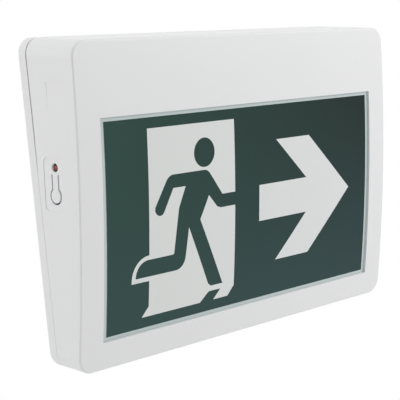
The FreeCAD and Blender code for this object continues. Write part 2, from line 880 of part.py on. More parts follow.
def make_terminal_screws():
    z = board_bottom + connectors_from_bottom
    floor = board_front - terminal_rise + terminal_well_depth
    screws = []
    for x in terminal_places():
        head = faceted_rod(
            terminal_head_radius, terminal_head_height, Vector(x, floor, z), -Y_AXIS)
        slot = block(
            terminal_slot_width, 2 * terminal_slot_depth, 3 * terminal_head_radius,
            Vector(x, floor - terminal_head_height, z))
        screws.append(head.cut(slot))
    return Part.makeCompound(screws)


def header_places():
    insets = (first_header_from_right, second_header_from_right, third_header_from_right)
    return [(board_right - inset, board_bottom + connectors_from_bottom) for inset in insets]


def make_board_headers():
    """Open-topped sockets on the board, for the three plugs."""
    sockets = []
    for x, z in header_places():
        outside = on_board(header_width, header_rise, header_height, x, z)
        inside = on_board(
            header_width - 2 * header_wall, header_rise, header_height - 2 * header_wall, x, z)
        sockets.append(outside.cut(inside.translated(Vector(0, -header_wall, 0))))
    return Part.makeCompound(sockets)


def make_lead_plugs():
    margin = 2 * (header_wall + plug_clearance)
    plugs = [on_board(header_width - margin, plug_rise, header_height - margin, x, z)
             for x, z in header_places()]
    return Part.makeCompound([plug.translated(Vector(0, -header_wall, 0)) for plug in plugs])


# Battery ----------------------------------------------------------------------------------------

def battery_outline(margin, length):
    """The sleeved pack's stadium section, grown by a margin, along X."""
    half = battery_half - cell_radius
    start_x = battery_x - length / 2
    ends = [rod(cell_radius + margin, length, Vector(start_x, battery_y, battery_z + side * half), X_AXIS)
            for side in (-1, 1)]
    middle = block(length, 2 * (cell_radius + margin), 2 * half, Vector(battery_x, battery_y, battery_z))
    return middle.fuse(ends).removeSplitter()


def make_battery_pack():
    return battery_outline(0.0, cell_length)


def make_battery_strap():
    """A sprung steel strap over the pack, with a tongue above it and a screwed foot below."""
    foot_y = plate_inside - strap_standoff
    outer = battery_outline(strap_clearance + strap_thickness, strap_width)
    keep = block(strap_width, BEYOND, case_height, Vector(battery_x, foot_y - BEYOND / 2, battery_z))
    edge = battery_half + strap_clearance
    tongue_end = battery_z + edge + strap_thickness + strap_clearance + strap_tongue
    foot_end = battery_z - edge - strap_thickness - strap_foot
    ends = []
    for start, end in ((battery_z + edge / 2, tongue_end), (battery_z - edge / 2, foot_end)):
        ends.append(block(
            strap_width, strap_thickness, abs(end - start),
            Vector(battery_x, foot_y - strap_thickness / 2, (start + end) / 2)))
    x, z = strap_hole_place()
    hole = rod(screw_radius + screw_pass, 3 * strap_thickness, Vector(x, foot_y, z), Y_AXIS)
    hole = hole.translated(Vector(0, -2 * strap_thickness, 0))
    pack_space = battery_outline(strap_clearance, strap_width + BEYOND)
    return outer.common(keep).fuse(ends).cut([pack_space, hole]).removeSplitter()


def make_battery_strap_screw():
    x, z = strap_hole_place()
    seat = plate_inside - strap_standoff - strap_thickness
    return screw(Vector(x, seat, z), Y_AXIS, strap_screw_length)


# Leads ------------------------------------------------------------------------------------------

def lead(points):
    """A flat two-core lead along a route of straight runs and arcs as large as they allow."""
    places = [Vector(*point) for point in points]
    edges = []
    at = places[0]
    for before, corner, after in zip(places, places[1:], places[2:]):
        incoming = (corner - before).normalize()
        outgoing = (after - corner).normalize()
        turn = incoming.getAngle(outgoing)
        cut_back = 0.45 * min((corner - before).Length, (after - corner).Length)
        bend = cut_back / math.tan(turn / 2)
        inward = (outgoing - incoming).normalize()
        start = corner - incoming * cut_back
        middle = corner + inward * (bend / math.cos(turn / 2) - bend)
        end = corner + outgoing * cut_back
        edges.append(Part.LineSegment(at, start).toShape())
        edges.append(Part.Arc(start, middle, end).toShape())
        at = end
    edges.append(Part.LineSegment(at, places[-1]).toShape())
    along = (places[1] - places[0]).normalize()
    wide = X_AXIS if abs(along.x) < 0.5 else Z_AXIS
    across = wide.cross(along).normalize() * (lead_thickness / 2)
    half = wide * (lead_width / 2)
    corners = [places[0] + half + across, places[0] - half + across,
               places[0] - half - across, places[0] + half - across]
    outline = Part.makePolygon(corners + corners[:1])
    return Part.Wire(edges).makePipeShell([outline], True, False)


def plug_top(index):
    x, z = header_places()[index]
    return x, plug_front, z


def make_battery_lead():
    """From the pack's lowest cell, under the board's edge, to the first plug."""
    x, y, z = plug_top(0)
    start_x = battery_x + cell_length / 2
    start_z = battery_z - 2 * cell_radius
    span = x - start_x
    under = board_bottom - lead_drop
    return lead([
        (start_x, battery_y, start_z),
        (start_x + 0.17 * span, battery_y, start_z),
        (start_x + 0.47 * span, battery_y - 2 * lead_thickness, under),
        (x - 0.14 * span, y, under),
        (x, y - lead_rise, z),
        (x, y, z),
    ])


def make_lamp_lead():
    """From the second plug, up between the relay and the transformer, and over to the strip."""
    x, y, z = plug_top(1)
    relay_edge = relay_from_right - relay_width / 2
    transformer_edge = transformer_from_right + transformer_core_width / 2
    between = board_right - (relay_edge + transformer_edge) / 2
    joint_x = strip_length / 2 - lamp_lead_end
    joint, above = [
        to_wall(Part.Vertex(joint_x, led_depth, strip_top + rise)).Point
        for rise in (0.0, lamp_lead_rise)]
    return lead([
        (x, y, z),
        (x, y - lead_rise, z),
        (between, y - lead_rise / 2, board_bottom + board_height / 2),
        (between, above.y + lead_width, board_top - 0.2 * board_height),
        ((between + joint_x) / 2, above.y, above.z + lamp_lead_rise),
        tuple(above),
        tuple(joint),
    ])


def make_control_lead():
    """From the third plug, across the back plate above the cable entry, to the side board."""
    x, y, z = plug_top(2)
    end = to_wall(on_side(
        Part.Vertex(side_board_far, control_lead_side, -control_lead_drop))).Point
    span = end.x - x
    low = plate_inside - lead_raise
    under = board_bottom - lead_drop
    return lead([
        (x, y, z),
        (x, y - lead_rise, z),
        (x + 0.08 * span, (y + low) / 2, under - lead_wander),
        (x + 0.29 * span, low, under + lead_wander),
        (x + 0.5 * span, low - lead_wander, under - lead_wander),
        (x + 0.72 * span, low, under + lead_wander),
        (end.x + lead_straight, end.y, end.z),
        tuple(end),
    ])


PIECES = {
    "front_cover": lambda: to_wall(make_front_cover()),
    "back_plate": make_back_plate,
    "legend_panel": lambda: to_wall(make_legend_panel()),
    "legend_film": lambda: to_wall(make_legend_film()),
    "light_box": lambda: to_wall(make_light_box()),
    "light_box_screws": lambda: to_wall(make_light_box_screws()),
    "led_strip": lambda: to_wall(make_led_strip()),
    "leds": lambda: to_wall(make_leds()),
    "test_button": lambda: to_wall(make_test_button()),
    "test_switch_body": lambda: to_wall(make_test_switch_body()),
    "test_switch_plunger": lambda: to_wall(make_test_switch_plunger()),
    "side_board": lambda: to_wall(make_side_board()),
    "status_lamp": lambda: to_wall(make_status_lamp()),
    "lamp_spacer": lambda: to_wall(make_lamp_spacer()),
    "main_board": make_main_board,
    "main_board_screw": make_main_board_screw,
    "transformer": make_transformer,
    "capacitors": make_capacitors,
    "transfer_relay": make_transfer_relay,
    "terminal_block": make_terminal_block,
    "terminal_screws": make_terminal_screws,
    "board_headers": make_board_headers,
    "lead_plugs": make_lead_plugs,
    "battery_pack": make_battery_pack,
    "battery_strap": make_battery_strap,
    "battery_strap_screw": make_battery_strap_screw,
    "battery_lead": make_battery_lead,
    "lamp_lead": make_lamp_lead,
    "control_lead": make_control_lead,
}

os.makedirs("parts", exist_ok=True)
for node, make in PIECES.items():
    shape = make()
    shape.exportStep(f"parts/{node}.step")
    box = shape.BoundBox
    print(f"{node}: {len(shape.Solids)} solids, valid {shape.isValid()}, {shape.Volume:.0f} mm3, "
          f"X {box.XMin:.1f} {box.XMax:.1f} Y {box.YMin:.1f} {box.YMax:.1f} Z {box.ZMin:.1f} {box.ZMax:.1f}")
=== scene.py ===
# %% [markdown]
# # An emergency exit light
# The solid model is loaded as a fixed frame: every moulding, board and screw is already in its
# place. What follows gives them their finishes, prints the legend, and remakes the small pieces
# that a solid model keeps plain. They could all be drawn here from nothing, but then their places
# would be copied numbers. The box that the bare model fills is kept for the end.

# %% Load the frame
import json
import math

import bmesh
import bpy
from mathutils import Matrix, Vector
from mathutils.geometry import delaunay_2d_cdt


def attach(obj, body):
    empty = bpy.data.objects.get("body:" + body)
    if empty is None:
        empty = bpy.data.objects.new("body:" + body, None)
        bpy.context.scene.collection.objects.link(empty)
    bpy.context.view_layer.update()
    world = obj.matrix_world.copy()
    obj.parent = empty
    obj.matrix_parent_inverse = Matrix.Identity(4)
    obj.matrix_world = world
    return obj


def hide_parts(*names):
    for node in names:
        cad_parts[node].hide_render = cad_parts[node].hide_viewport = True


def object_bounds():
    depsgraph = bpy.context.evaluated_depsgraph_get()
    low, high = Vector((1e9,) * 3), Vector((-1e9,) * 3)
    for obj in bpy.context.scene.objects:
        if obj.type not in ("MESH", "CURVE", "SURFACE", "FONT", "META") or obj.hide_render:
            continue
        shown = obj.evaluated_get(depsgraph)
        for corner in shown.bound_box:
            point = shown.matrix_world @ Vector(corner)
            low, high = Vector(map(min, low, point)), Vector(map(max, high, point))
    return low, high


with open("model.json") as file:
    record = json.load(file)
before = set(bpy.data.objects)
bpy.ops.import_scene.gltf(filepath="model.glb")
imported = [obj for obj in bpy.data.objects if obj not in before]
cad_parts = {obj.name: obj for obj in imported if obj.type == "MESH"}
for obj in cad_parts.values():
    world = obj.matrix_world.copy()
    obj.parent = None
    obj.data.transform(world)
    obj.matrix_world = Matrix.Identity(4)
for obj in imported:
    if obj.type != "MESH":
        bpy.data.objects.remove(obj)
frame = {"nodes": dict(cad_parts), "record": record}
cad_low, cad_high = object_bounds()
nodes = frame["nodes"]
MM = 0.001
print("loaded", len(nodes), "nodes; box in mm:", [round(c / MM, 1) for c in cad_high - cad_low])

# %% [markdown]
# ## Two sets of axes
# The sign hangs on a wall with its face leaning forward, but the legend is easier to draw square
# to the face. So there are case axes, X right, Y into the case from the foremost line of the face
# and Z up the face from the middle of the window. Each point could be leaned on its own, but one
# matrix turns them all into the wall's axes.

# %% Case axes and the curve of the face
face_lean = math.radians(7.5)
face_radius = 1278.0
case_depth = 47.4
case_middle = 16.25
back_middle = case_depth + case_middle * math.tan(face_lean)
to_wall = (
    Matrix.Scale(MM, 4)
    @ Matrix.Rotation(face_lean, 4, "X")
    @ Matrix.Translation((0, -back_middle, -case_middle))
)


def face_depth(height, inset=0.0):
    """How far back the face is at this height, for a surface at some inset behind it."""
    radius = face_radius - inset
    return face_radius - math.sqrt(radius ** 2 - height ** 2)


def in_case(x, y, z):
    """A place in the case's axes, in millimetres, as a place in the wall's axes, in metres."""
    return to_wall @ Vector((x, y, z))


print("the face is", round(face_depth(75.0), 2), "mm further back at the legend's top edge")

# %% [markdown]
# ## Camera
# A long lens stands to the left of the sign, a little above its middle, and the view's upright is
# the legend's own. A constraint could keep the camera aimed. A matrix, set out in the case's axes
# and turned with them, is worked out once and shows what each turn is for.

# %% The camera
camera_place = Vector((-695.67, -621.89, 164.61))
camera_aim = Vector((-17.06, 38.02, 1.72))
camera_roll = math.radians(-0.082)
lens_length = 111.65
sensor_width = 36.0

camera = bpy.data.objects.new("camera", bpy.data.cameras.new("camera"))
bpy.context.scene.collection.objects.link(camera)
camera.data.lens = lens_length
camera.data.sensor_width = sensor_width
camera.data.clip_start, camera.data.clip_end = 0.01, 50.0
aim_turn = (camera_aim - camera_place).to_track_quat("-Z", "Y").to_matrix().to_4x4()
lean_turn = Matrix.Rotation(face_lean, 4, "X")
roll_turn = Matrix.Rotation(camera_roll, 4, "Z")
camera_turn = lean_turn @ aim_turn @ roll_turn
camera.matrix_world = Matrix.Translation(to_wall @ camera_place) @ camera_turn
bpy.context.scene.camera = camera
print("camera to sign:", round((camera_aim - camera_place).length), "mm")

# %% [markdown]
# ## Sums on shader sockets
# A pattern in a finish is a sum: noise times a strength plus a base. Written as Math nodes that
# is hard to read, so a small class wraps a socket and turns +, -, * and / into those nodes.
# Every other kind of node comes from one method, which sets its options before its sockets.

# %% Signals
class Signal:
    """A socket of a node tree that can be added to, multiplied and so on."""

    def __init__(self, tree, socket):
        self.tree = tree
        self.socket = socket

    def sum_of(self, operation, first, second):
        node = self.tree.nodes.new("ShaderNodeMath")
        node.operation = operation
        plug(self.tree, node.inputs[0], first)
        plug(self.tree, node.inputs[1], second)
        return Signal(self.tree, node.outputs[0])

    def __add__(self, other):
        return self.sum_of("ADD", self, other)

    def __radd__(self, other):
        return self.sum_of("ADD", other, self)

    def __sub__(self, other):
        return self.sum_of("SUBTRACT", self, other)

    def __rsub__(self, other):
        return self.sum_of("SUBTRACT", other, self)

    def __mul__(self, other):
        return self.sum_of("MULTIPLY", self, other)

    def __rmul__(self, other):
        return self.sum_of("MULTIPLY", other, self)

    def __truediv__(self, other):
        return self.sum_of("DIVIDE", self, other)

    def __rtruediv__(self, other):
        return self.sum_of("DIVIDE", other, self)

    def over(self, limit):
        """1 where this is more than the limit, else 0."""
        return self.sum_of("GREATER_THAN", self, limit)


def plug(tree, socket, value):
    """Links a Signal to a socket, or sets the socket to a plain value."""
    if isinstance(value, Signal):
        tree.links.new(value.socket, socket)
    elif isinstance(value, tuple) and len(value) == 3 and socket.type == "RGBA":
        socket.default_value = (*value, 1.0)
    else:
        socket.default_value = value


def add_node(tree, kind, options, sockets, output=0):
    """Adds a node to any tree, sets its options and then its sockets, and gives one output."""
    node = tree.nodes.new(kind)
    for name, value in options.items():
        setattr(node, name, value)
    by_id = {socket.identifier: socket for socket in node.inputs}
    for name, value in sockets.items():
        plug(tree, by_id.get(name) or node.inputs[name], value)
    return Signal(tree, node.outputs[output])


print("a signal turns + - * / into nodes")

# %% [markdown]
# ## A finish
# Every finish is one Principled shader whose colour, roughness and bump are fed by noise. The
# nodes could be laid out by hand for each one. A class lays them out once, and a dictionary keeps
# the finishes under the names by which the model's pieces ask for them.

# %% Finishes
finishes = {}


def shade(colour, share):
    """A colour made lighter or darker."""
    return tuple(min(1.0, part * share) for part in colour)


class Finish:
    """A material in the making, with one Principled shader, kept in finishes by its name."""

    def __init__(self, name, colour, roughness, **fixed):
        self.material = finishes[name] = bpy.data.materials.new(name + "_finish")
        self.material.use_nodes = True
        self.tree = self.material.node_tree
        self.shader = self.tree.nodes["Principled BSDF"]
        self.set("Base Color", colour)
        self.set("Roughness", roughness)
        for socket, value in fixed.items():
            self.set(socket.replace("_", " "), value)

    def set(self, socket, value):
        plug(self.tree, self.shader.inputs[socket], value)

    def node(self, kind, options, sockets, output=0):
        return add_node(self.tree, "ShaderNode" + kind, options, sockets, output)

    def place(self):
        """Where a point is on the object, in metres."""
        return self.node("TexCoord", {}, {}, "Object")

    def noise(self, size, detail=2.0, stretch=(1.0, 1.0, 1.0)):
        """Noise between 0 and 1 with features of about this size, in millimetres."""
        scale = tuple(part / (size * MM) for part in stretch)
        spread = self.node("Mapping", {}, {"Vector": self.place(), "Scale": scale})
        return self.node("TexNoise", {}, {"Vector": spread, "Scale": 1.0, "Detail": detail})

    def blend(self, share, first, second):
        """A colour between two: the first at share 0 and the second at share 1."""
        sockets = {"Factor_Float": share, "A_Color": first, "B_Color": second}
        return self.node("Mix", {"data_type": "RGBA"}, sockets, 2)

    def tint(self, share, colour, darker, lighter):
        """The darker tone of a colour where the share is 0 and the lighter one where it is 1."""
        self.set("Base Color", self.blend(share, shade(colour, darker), shade(colour, lighter)))

    def grain(self, height, depth):
        """Bump from a height between 0 and 1, as deep as the given millimetres."""
        sockets = {"Strength": 1.0, "Distance": depth * MM, "Height": height}
        self.set("Normal", self.node("Bump", {}, sockets))


print("finishes so far:", len(finishes))

# %% [markdown]
# ## Moulded plastic
# The case, its back and the button are of one white plastic, with the fine satin that a
# spark-eroded tool leaves. A painted image could give that grain, but it would need seams. Noise
# in space has none: two sizes of it make the grain, a third makes the slow change of gloss that a
# large moulding has, and the colour drifts a very little, as pigment does.

# %% Case plastics
def moulded_plastic(name, colour, roughness, grain_depth, drift):
    finish = Finish(name, colour, roughness)
    slow = finish.noise(60.0, 1.0)
    fine = finish.noise(0.45, 3.0)
    coarse = finish.noise(1.6)
    finish.tint(slow, colour, 1 - drift, 1 + drift)
    finish.set("Roughness", roughness - 0.05 + 0.07 * slow + 0.03 * coarse)
    finish.grain(0.7 * fine + 0.3 * coarse, grain_depth)


moulded_plastic("case_white", (0.788, 0.79, 0.796), 0.42, 0.012, 0.012)
moulded_plastic("black_plastic", (0.018, 0.018, 0.019), 0.38, 0.012, 0.1)
moulded_plastic("switch_grey", (0.3, 0.3, 0.3), 0.4, 0.01, 0.06)
moulded_plastic("terminal_green", (0.03, 0.22, 0.1), 0.36, 0.012, 0.08)
moulded_plastic("nylon", (0.75, 0.74, 0.68), 0.3, 0.01, 0.05)
print("moulded plastics:", ", ".join(finishes))

# %% [markdown]
# ## Clear and coated plastics
# The panel behind the legend is opal acrylic: white pigment in a glossy clear body. It could be
# made to let light through, but its lamps are off here, so it is a slightly green base under a
# smooth coat. Reflector paint, shrink sleeve, phosphor and tinted epoxy are also colours under a
# gloss, each with its own unevenness.

# %% Coated finishes
def coated(name, colour, roughness, size, drift, ripple, coat=0.4):
    """A glossy colour whose surface ripples a little."""
    finish = Finish(name, colour, roughness, Coat_Weight=coat, Coat_Roughness=0.12)
    finish.tint(finish.noise(size), colour, 1 - drift, 1 + drift)
    finish.set("Roughness", roughness + 0.08 * (finish.noise(size / 3) - 0.5))
    finish.grain(finish.noise(size / 2, 1.0), ripple)


coated("opal_acrylic", (0.51, 0.59, 0.58), 0.3, 40.0, 0.02, 0.02)
coated("reflector_white", (0.85, 0.85, 0.84), 0.35, 30.0, 0.02, 0.03)
coated("lamp_yellow", (0.85, 0.7, 0.2), 0.4, 1.0, 0.08, 0.01)
coated("lamp_red", (0.25, 0.012, 0.008), 0.25, 3.0, 0.1, 0.005, 0.25)
coated("can_sleeve", (0.03, 0.04, 0.09), 0.3, 4.0, 0.1, 0.05)
coated("pack_sleeve", (0.04, 0.1, 0.28), 0.28, 9.0, 0.08, 0.12)
print("finishes so far:", len(finishes))

# %% [markdown]
# ## Circuit boards
# Solder mask is a thin glossy lacquer over copper tracks, which show through as slightly lighter
# raised lines. They could be cut as bodies, at the cost of many faces that nobody sees closely.
# A brick pattern whose wide mortar leaves only thin strips of brick gives parallel lines that
# start and stop, and a noise cut off at a level keeps them in patches.

# %% Boards
track_pitch, track_gap, track_run, track_height = 2.4, 0.85, 21.0, 0.035


def solder_mask(name, colour, track_share):
    finish = Finish(name, colour, 0.32, Coat_Weight=0.3, Coat_Roughness=0.15)
    upright = finish.node(
        "Mapping", {}, {"Vector": finish.place(), "Rotation": (math.radians(90), 0, 0)})
    options = {"offset": 0.37, "offset_frequency": 3, "squash": 0.6, "squash_frequency": 2}
    sockets = {
        "Vector": upright, "Color1": (1.0, 1.0, 1.0), "Color2": (1.0, 1.0, 1.0),
        "Mortar": (0.0, 0.0, 0.0), "Scale": 1.0, "Mortar Size": track_gap * MM,
        "Mortar Smooth": 0.2, "Brick Width": track_run * MM, "Row Height": track_pitch * MM}
    tracks = 1.0 - finish.node("TexBrick", options, sockets, "Fac")
    tracks = tracks * finish.noise(16.0, 0.0).over(0.52)
    finish.tint(tracks, colour, 0.96, track_share)
    finish.set("Roughness", 0.34 - 0.06 * tracks)
    finish.grain(tracks, track_height)


solder_mask("board_green", (0.03, 0.17, 0.07), 1.25)
solder_mask("board_white", (0.8, 0.8, 0.78), 1.04)
print("finishes so far:", len(finishes))

# %% [markdown]
# ## Metals
# Zinc plating is bright with a blotchy passivation, spring steel shows the lines of its rolling,
# and the transformer's core is a stack of stampings, so its lines are half a millimetre apart.
# The sheets could be modelled one by one. Noise drawn out along them gives lines like theirs.

# %% Metals
def metal(name, colour, roughness, line_pitch, line_depth, stretch):
    finish = Finish(name, colour, roughness, Metallic=1.0)
    lines = finish.noise(line_pitch, 2.0, stretch)
    blotch = finish.noise(5.0, 3.0)
    finish.tint(blotch, colour, 0.9, 1.06)
    finish.set("Roughness", roughness - 0.06 + 0.12 * lines + 0.06 * blotch)
    finish.grain(lines, line_depth)


metal("zinc_steel", (0.62, 0.62, 0.6), 0.3, 0.8, 0.006, (1.0, 1.0, 1.0))
metal("spring_steel", (0.55, 0.55, 0.55), 0.26, 0.3, 0.006, (1.0, 0.03, 0.03))
metal("core_steel", (0.35, 0.34, 0.33), 0.5, 0.5, 0.05, (0.02, 1.0, 0.02))
print("finishes so far:", len(finishes))

# %% [markdown]
# ## Lead insulation
# Flat two-core lead is soft PVC, satin and slightly mottled. One plain colour would look like
# paint, so noise moves the colour and the gloss together.

# %% Leads
def insulation(name, colour):
    finish = Finish(name, colour, 0.45, Sheen_Weight=0.05)
    mottle = finish.noise(2.5, 3.0)
    finish.tint(mottle, colour, 0.9, 1.08)
    finish.set("Roughness", 0.4 + 0.12 * mottle)
    finish.grain(finish.noise(0.5), 0.01)


insulation("lead_red", (0.4, 0.02, 0.02))
insulation("lead_white", (0.7, 0.7, 0.68))
insulation("lead_grey", (0.25, 0.25, 0.25))
print("finishes so far:", len(finishes))

# %% [markdown]
# ## Finishes on the model's own pieces
# Each node could be given its finish by name. The record says already which finish each has, so
# one loop gives them all out. Only the material slots change: the meshes stay as they are. The
# legend's film gets none, because the printed sheet further down takes its place.

# %% Give out the finishes
given = 0
for part in frame["record"]["subparts"]:
    finish = finishes.get(part["material_slot"])
    if finish:
        given += 1
        for material_slot in nodes[part["node"]].material_slots:
            material_slot.material = finish
print("nodes given a finish:", given, "of", len(nodes))

# %% [markdown]
# ## Turned pieces
# Lamps, cans and screws are turned shapes: an outline of radius and height, spun round an axis.
# The Screw modifier could spin them too. Written out, the same rings of points also make a screw
# thread, because there the radius depends on the height and on the angle together, which winds
# the ridge round the shank.

# %% Lathe and thread
def lathe(mesh, outline, steps=32):
    """Spins (radius, height) pairs round Z; the outline runs from the axis back to the axis."""
    rings = []
    for radius, height in outline:
        if radius == 0:
            rings.append([mesh.verts.new((0, 0, height * MM))] * steps)
            continue
        turns = [2 * math.pi * step / steps for step in range(steps)]
        rings.append([mesh.verts.new((radius * math.cos(turn) * MM, radius * math.sin(turn) * MM,
                                      height * MM)) for turn in turns])
    join_rings(mesh, rings)


def join_rings(mesh, rings):
    """Faces from each ring of points to the next; a ring of one repeated point closes an end."""
    for lower, upper in zip(rings, rings[1:]):
        for step in range(len(lower)):
            after = (step + 1) % len(lower)
            corners = [lower[step], lower[after], upper[after], upper[step]]
            face = mesh.faces.new(list(dict.fromkeys(corners)))
            face.smooth = True


def threaded_rod(mesh, radius, length, pitch, depth, steps=24, levels=6, tip_share=0.45):
    """A rod from Z 0 down to -length whose ridge climbs one pitch in each turn."""
    rings = [[mesh.verts.new((0, 0, 0))] * steps]
    count = round(length / pitch * levels)
    for index in range(count + 1):
        height = index * length / count
        taper = min(1.0, tip_share + (length - height) / radius)
        ring = []
        for step in range(steps):
            phase = (height / pitch + step / steps) % 1.0
            here = (radius - depth * abs(2 * phase - 1)) * taper
            turn = 2 * math.pi * step / steps
            ring.append(mesh.verts.new((here * math.cos(turn) * MM, here * math.sin(turn) * MM,
                                        -height * MM)))
        rings.append(ring)
    rings.append([mesh.verts.new((0, 0, -length * MM))] * steps)
    join_rings(mesh, rings)


print("lathe and thread ready")

# %% [markdown]
# ## New objects
# Every mesh made here ends as an object at the origin, with its place in its points. A turned or
# moved object would look the same, but a pattern that reads its coordinates would slide on it.
# Doubles are merged first, and then the normals are turned outwards.

# %% Objects from meshes
def new_object(name, mesh, *materials):
    """The mesh, cleaned, with its materials, as an object in the scene."""
    bmesh.ops.remove_doubles(mesh, verts=mesh.verts, dist=1e-7)
    bmesh.ops.recalc_face_normals(mesh, faces=mesh.faces)
    data = bpy.data.meshes.new(name)
    mesh.to_mesh(data)
    mesh.free()
    for material in materials:
        data.materials.append(material)
    made = bpy.data.objects.new(name, data)
    bpy.context.scene.collection.objects.link(made)
    return made


def result_of(carrier, *used):
    """An object's mesh after its modifiers; the object and what they used are taken away."""
    evaluated = carrier.evaluated_get(bpy.context.evaluated_depsgraph_get())
    result = bpy.data.meshes.new_from_object(evaluated)
    mesh = bmesh.new()
    mesh.from_mesh(result)
    bpy.data.meshes.remove(result)
    for scratch in (carrier, *used):
        bpy.data.objects.remove(scratch)
    return mesh


# %% [markdown]
# ## The legend's outlines
# The legend is a print on a translucent sheet: a door, a running figure with a border round its
# foot, a shadow and an arrow. Curves could draw it. Outlines of a few points in millimetres from
# the legend's middle, some with a radius to round them, are shorter and can be laid over each
# other in layers, the last on top.

# %% Outlines of the pictogram
legend_width, legend_height = 291.3, 150.0


def circle(x, z, radius, steps=48):
    return [(x + radius * math.cos(2 * math.pi * step / steps),
             z + radius * math.sin(2 * math.pi * step / steps)) for step in range(steps)]


def rounded(corners, steps=8):
    """An outline whose corners are (x, z) or (x, z, radius); the radius rounds the corner."""
    outline = []
    for index, corner in enumerate(corners):
        here = Vector(corner[:2])
        if len(corner) == 2:
            outline.append(tuple(here))
            continue
        before = Vector(corners[index - 1][:2])
        after = Vector(corners[(index + 1) % len(corners)][:2])
        arriving, leaving = (here - before).normalized(), (after - here).normalized()
        turn = arriving.angle(leaving)
        reach = corner[2] * math.tan(turn / 2)
        start = here - arriving * reach
        side = 1 if arriving.x * leaving.y - arriving.y * leaving.x > 0 else -1
        centre = start + Vector((-arriving.y, arriving.x)) * corner[2] * side
        spoke = start - centre
        for step in range(steps + 1):
            spin = Matrix.Rotation(side * turn * step / steps, 2)
            outline.append(tuple(centre + spin @ spoke))
    return outline


sheet_outline = [(-legend_width / 2, -legend_height / 2), (legend_width / 2, -legend_height / 2),
                 (legend_width / 2, legend_height / 2), (-legend_width / 2, legend_height / 2)]
door = [(-105.75, 67.25), (-105.75, -60.0), (-112.5, -67.25), (-23.25, -67.25), (-16.5, -60.0),
        (-16.5, 67.25)]
head = circle(-49.1, 45.36, 10.81)
figure = rounded([
    (-86.0, 32.5, 9.0), (-101.7, 7.7, 4.4), (-93.3, 2.5, 4.4),
    (-81.75, 22.75), (-69.25, 22.75), (-76.25, 7.5, 12.0), (-78.25, -5.0, 12.0),
    (-81.25, -25.75, 1.5), (-118.9, -25.9, 12.0), (-118.9, -38.0), (-70.7, -38.0, 10.0),
    (-66.0, -8.0), (-45.0, -53.75, 2.5), (-42.0, -56.0), (-29.25, -56.0),
    (-54.25, -3.75), (-45.0, 13.25), (-36.25, 3.75, 2.5), (-32.5, 2.5), (-16.5, 2.5),
    (-16.5, 12.5), (-30.5, 12.5), (-45.9, 32.5, 8.0)])
foot_border = rounded([
    (-105.75, -22.6), (-122.75, -22.6, 16.9), (-122.75, -41.25), (-105.75, -41.25)])
shadow = rounded([
    (-53.0, -67.25), (-46.25, -61.75, 1.5), (-43.75, -60.0), (-31.25, -60.0), (-38.75, -67.25)])
arrow_axis = 0.12
arrow_half = [(10.98, 14.06), (67.5, 14.06), (31.1, 47.7), (70.9, 47.7)]
arrow = ([(x, arrow_axis + z) for x, z in arrow_half] + [(122.7, arrow_axis)]
         + [(x, arrow_axis - z) for x, z in reversed(arrow_half)])
GREEN, BARE = 0, 1
layers = [(sheet_outline, GREEN), (foot_border, BARE), (door, BARE), (shadow, GREEN),
          (figure, GREEN), (head, GREEN), (arrow, BARE)]
print("legend outlines:", len(layers), "with", sum(len(outline) for outline, ink in layers), "points")

# %% [markdown]
# ## Ink
# The green is a matt screen ink, and the bare sheet shows as a pale colour. Both could be flat
# colours, but the light on the sign changes slowly over its length and height. So an ink has a
# colour for each of its four corners, blended by place, which paints that light in: painted
# reflection and shade, lighter low down and darker towards the top right. The faint weave of a
# printing screen lies over it.

# %% Inks
def ink_with_painted_light(name, low_colours, top_colours):
    """Matt ink with painted reflection and shade; each pair is the colour at the left and the right
    end.
    """
    finish = Finish(name, low_colours[0], 0.4, Specular_IOR_Level=0.12)
    patches = finish.noise(25.0, 2.0)
    weave = finish.noise(0.3, 1.0)
    place = finish.place()
    foot = in_case(0, 0, -legend_height / 2).z
    along = finish.node("SeparateXYZ", {}, {"Vector": place}, "X") / (legend_width * MM) + 0.45
    rise = (finish.node("SeparateXYZ", {}, {"Vector": place}, "Z") - foot) / (legend_height * MM)
    # Painted reflection and shade: the colour changes by place, left to right and low to top.
    low = finish.blend(along + 0.1 * patches, *low_colours)
    top = finish.blend(along + 0.1 * patches, *top_colours)
    finish.set("Base Color", finish.blend(rise, low, top))
    finish.set("Roughness", 0.36 + 0.06 * patches + 0.06 * weave)
    finish.grain(weave, 0.006)


# The bare sheet is a little lighter towards the right.
bare_ends = ((0.72, 0.745, 0.725), (0.735, 0.755, 0.745))
# Painted reflection and shade: the green is lighter and bluer low down and darker towards the top
# right.
ink_with_painted_light(
    "legend_green", ((0.034, 0.0756, 0.0685), (0.0248, 0.054, 0.056)),
    ((0.026, 0.065, 0.0515), (0.004, 0.016, 0.013)))
ink_with_painted_light("legend_bare", bare_ends, bare_ends)
print("finishes so far:", len(finishes))

# %% [markdown]
# ## The printed sheet
# The shapes could be thin bodies one over the other, but then their edges would show as steps. A
# constrained triangulation lays the outlines over each other and over a set of level lines. Each
# small triangle then knows which outlines it is in and takes the ink of the topmost, and the
# level lines let the flat sheet bend to the curve of the face.

# %% Lay the outlines over each other and bend the sheet
legend_recess, film_thickness, level_pitch = 1.5, 0.2, 5.0


def anticlockwise(outline):
    """The triangulation takes an outline that runs clockwise for a hole."""
    turned = outline[1:] + outline[:1]
    area = sum(x * next_z - next_x * z for (x, z), (next_x, next_z) in zip(outline, turned))
    return outline if area > 0 else outline[::-1]


